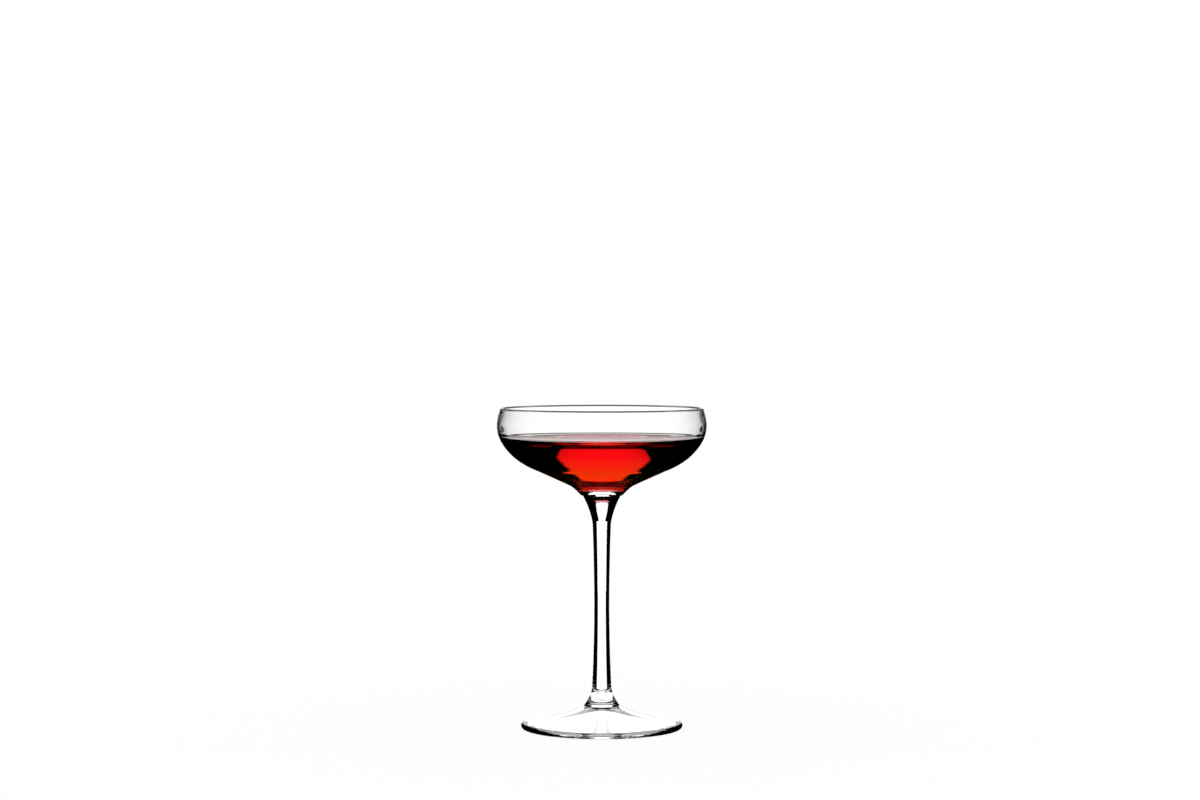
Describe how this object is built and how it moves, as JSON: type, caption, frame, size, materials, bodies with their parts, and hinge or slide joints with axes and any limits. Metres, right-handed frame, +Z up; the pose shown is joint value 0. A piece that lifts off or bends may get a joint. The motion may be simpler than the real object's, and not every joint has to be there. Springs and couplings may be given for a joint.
{
  "type": "coupe glass",
  "caption": "Stemmed coupe glass: a wide shallow bowl with an incurved rim on a slim solid stem and a round foot, holding a clear red drink for serving.",
  "frame": {"origin": "centre of the foot's resting ring, on the surface that the glass stands on", "axes": "+Z up along the axis of the glass; the glass is turned, so X and Y are alike"},
  "size_m": [0.095, 0.095, 0.145],
  "materials": {
    "clear_glass": "clear, fire-polished",
    "red_drink": "clear red liquid, still"
  },
  "bodies": {
    "root": {"bowl": "clear_glass", "stem": "clear_glass", "foot": "clear_glass", "drink": "red_drink"}
  },
  "joints": []
}
